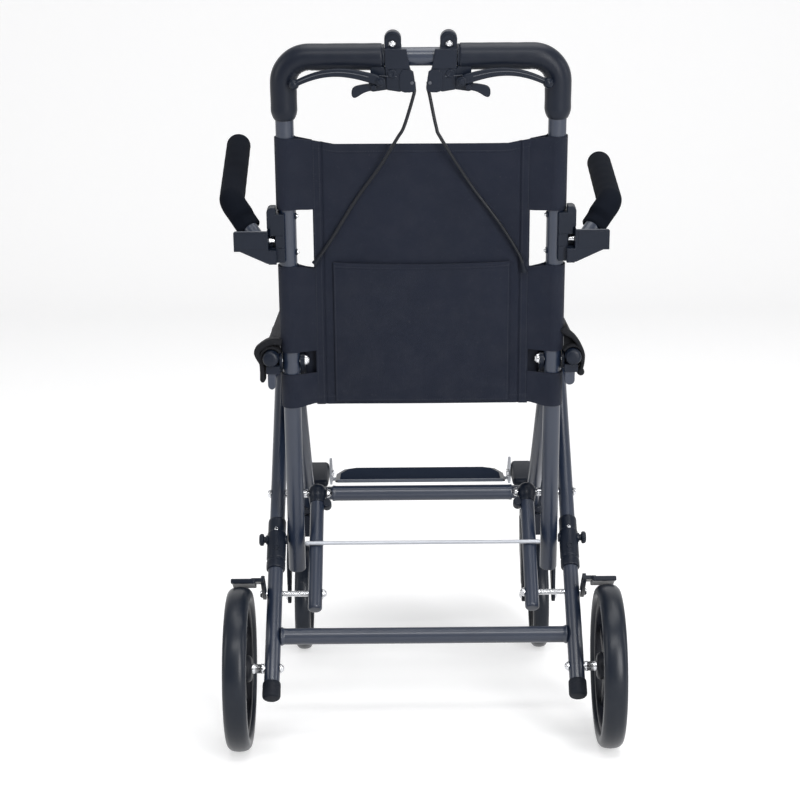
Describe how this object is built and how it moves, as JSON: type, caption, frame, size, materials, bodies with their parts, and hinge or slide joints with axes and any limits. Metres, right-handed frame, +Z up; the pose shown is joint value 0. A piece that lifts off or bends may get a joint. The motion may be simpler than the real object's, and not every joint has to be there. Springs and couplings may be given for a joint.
{
  "type": "transport chair",
  "caption": "Lightweight folding transport chair with a fabric sling seat and back, hand brakes, swivel casters, flip-up armrests and footplate.",
  "frame": {"origin": "ground level, under the middle of the bounding box", "axes": "+Z up, +Y the way the chair rolls forward, +X to the right of a person who sits in it"},
  "size_m": [0.5086, 0.7108, 0.884],
  "materials": {
    "frame_paint": "satin metallic dark grey paint",
    "black_plastic": "moulded, fine grain",
    "foam": "closed cell foam, matte",
    "cloth": "plain woven polyester, navy black",
    "tyre_rubber": "matte",
    "steel": "bright zinc",
    "webbing": "woven strap"
  },
  "bodies": {
    "rear_frame": {"rear_crossbar": "frame_paint", "guide_crossbar": "frame_paint", "tie_rod": "steel", "rear_leg_l": "frame_paint", "guide_tube_l": "frame_paint", "upper_guide_bolt_l": "steel", "lower_guide_bolt_l": "steel", "lock_bracket_l": "black_plastic", "rear_axle_l": "steel", "rear_leg_r": "frame_paint", "guide_tube_r": "frame_paint", "upper_guide_bolt_r": "steel", "lower_guide_bolt_r": "steel", "lock_bracket_r": "black_plastic", "rear_axle_r": "steel"},
    "seat_frame": {"seat_cloth": "cloth", "seat_rail_l": "frame_paint", "seat_lug_l": "black_plastic", "seat_pivot_bolt_l": "steel", "belt_l": "webbing", "seat_rail_r": "frame_paint", "seat_lug_r": "black_plastic", "seat_pivot_bolt_r": "steel", "belt_r": "webbing"},
    "front_frame": {"front_crossbar": "frame_paint", "front_leg_l": "frame_paint", "caster_housing_l": "black_plastic", "front_leg_r": "frame_paint", "caster_housing_r": "black_plastic"},
    "back_frame": {"push_handle_frame": "frame_paint", "back_cloth": "cloth", "handle_grip_l": "foam", "armrest_bracket_l": "black_plastic", "brake_clamp_l": "black_plastic", "brake_cable_l": "black_plastic", "handle_grip_r": "foam", "armrest_bracket_r": "black_plastic", "brake_clamp_r": "black_plastic", "brake_cable_r": "black_plastic"},
    "footplate_unit": {"footplate": "frame_paint"},
    "rear_wheel_l": {"rear_tyre_l": "tyre_rubber", "rear_rim_l": "black_plastic"},
    "brake_shoe_l": {"brake_shoe_l": "black_plastic"},
    "lock_knob_l": {"lock_knob_l": "black_plastic"},
    "caster_swivel_l": {"caster_fork_l": "black_plastic"},
    "caster_wheel_l": {"caster_wheel_l": "tyre_rubber"},
    "armrest_l": {"armrest_tube_l": "frame_paint", "armrest_pad_l": "foam"},
    "brake_lever_l": {"brake_lever_l": "black_plastic"},
    "parking_catch_l": {"parking_catch_l": "black_plastic"},
    "rear_wheel_r": {"rear_tyre_r": "tyre_rubber", "rear_rim_r": "black_plastic"},
    "brake_shoe_r": {"brake_shoe_r": "black_plastic"},
    "lock_knob_r": {"lock_knob_r": "black_plastic"},
    "caster_swivel_r": {"caster_fork_r": "black_plastic"},
    "caster_wheel_r": {"caster_wheel_r": "tyre_rubber"},
    "armrest_r": {"armrest_tube_r": "frame_paint", "armrest_pad_r": "foam"},
    "brake_lever_r": {"brake_lever_r": "black_plastic"},
    "parking_catch_r": {"parking_catch_r": "black_plastic"}
  },
  "joints": [
    {"name": "leg_fold", "type": "hinge", "parent": "rear_frame", "child": "seat_frame", "pos_m": [0, 0.07562, 0.41685], "axis": [1, 0, 0], "range_deg": [0, 32]},
    {"name": "front_leg_fold", "type": "hinge", "parent": "seat_frame", "child": "front_frame", "pos_m": [0, -0.15756, 0.474], "axis": [1, 0, 0], "range_deg": [0, 28.4]},
    {"name": "back_fold", "type": "hinge", "parent": "seat_frame", "child": "back_frame", "pos_m": [0, -0.15756, 0.474], "axis": [-1, 0, 0], "range_deg": [0, 80]},
    {"name": "footplate_flip", "type": "hinge", "parent": "front_frame", "child": "footplate_unit", "pos_m": [0, 0.23044, 0.2345], "axis": [1, 0, 0], "range_deg": [0, 80]},
    {"name": "rear_wheel_spin_l", "type": "hinge", "parent": "rear_frame", "child": "rear_wheel_l", "pos_m": [-0.2295, -0.25394, 0.10148], "axis": [1, 0, 0], "continuous": true},
    {"name": "caster_swivel_l", "type": "hinge", "parent": "front_frame", "child": "caster_swivel_l", "pos_m": [-0.168, 0.18044, 0.2], "axis": [0, 0, 1], "continuous": true},
    {"name": "caster_spin_l", "type": "hinge", "parent": "caster_swivel_l", "child": "caster_wheel_l", "pos_m": [-0.168, 0.13544, 0.075], "axis": [1, 0, 0], "continuous": true},
    {"name": "brake_lever_l", "type": "hinge", "parent": "back_frame", "child": "brake_lever_l", "pos_m": [-0.048, -0.24049, 0.82299], "axis": [0, 0.9855, 0.1697], "range_deg": [0, 7], "stiffness_Nm_per_rad": 0.6, "springref_deg": -20.05},
    {"name": "parking_catch_l", "type": "hinge", "parent": "back_frame", "child": "parking_catch_l", "pos_m": [-0.056, -0.2333, 0.81662], "axis": [0, 0.9855, 0.1697], "range_deg": [0, 18]},
    {"name": "brake_press_l", "type": "hinge", "parent": "rear_frame", "child": "brake_shoe_l", "pos_m": [-0.1895, -0.17732, 0.1748], "axis": [1, 0, 0], "range_deg": [0, 3.5]},
    {"name": "armrest_flip_l", "type": "hinge", "parent": "back_frame", "child": "armrest_l", "pos_m": [-0.2, -0.18425, 0.62902], "axis": [1, 0, 0], "range_deg": [0, 63]},
    {"name": "lock_pull_l", "type": "slide", "parent": "rear_frame", "child": "lock_knob_l", "axis": [-1, 0, 0], "range_m": [0, 0.008], "stiffness_N_per_m": 500, "springref_m": -0.01},
    {"name": "rear_wheel_spin_r", "type": "hinge", "parent": "rear_frame", "child": "rear_wheel_r", "pos_m": [0.2295, -0.25394, 0.10148], "axis": [1, 0, 0], "continuous": true},
    {"name": "caster_swivel_r", "type": "hinge", "parent": "front_frame", "child": "caster_swivel_r", "pos_m": [0.168, 0.18044, 0.2], "axis": [0, 0, 1], "continuous": true},
    {"name": "caster_spin_r", "type": "hinge", "parent": "caster_swivel_r", "child": "caster_wheel_r", "pos_m": [0.168, 0.13544, 0.075], "axis": [1, 0, 0], "continuous": true},
    {"name": "brake_lever_r", "type": "hinge", "parent": "back_frame", "child": "brake_lever_r", "pos_m": [0.048, -0.24049, 0.82299], "axis": [0, -0.9855, -0.1697], "range_deg": [0, 7], "stiffness_Nm_per_rad": 0.6, "springref_deg": -20.05},
    {"name": "parking_catch_r", "type": "hinge", "parent": "back_frame", "child": "parking_catch_r", "pos_m": [0.056, -0.2333, 0.81662], "axis": [0, -0.9855, -0.1697], "range_deg": [0, 18]},
    {"name": "brake_press_r", "type": "hinge", "parent": "rear_frame", "child": "brake_shoe_r", "pos_m": [0.1895, -0.17732, 0.1748], "axis": [1, 0, 0], "range_deg": [0, 3.5]},
    {"name": "armrest_flip_r", "type": "hinge", "parent": "back_frame", "child": "armrest_r", "pos_m": [0.2, -0.18425, 0.62902], "axis": [1, 0, 0], "range_deg": [0, 70]},
    {"name": "lock_pull_r", "type": "slide", "parent": "rear_frame", "child": "lock_knob_r", "axis": [1, 0, 0], "range_m": [0, 0.008], "stiffness_N_per_m": 500, "springref_m": -0.01}
  ],
  "couplings": [
    {"joint": "front_leg_fold", "follows": "leg_fold", "ratio": 0.8875},
    {"joint": "brake_press_l", "follows": "brake_lever_l", "ratio": 0.5},
    {"joint": "brake_press_r", "follows": "brake_lever_r", "ratio": 0.5}
  ]
}
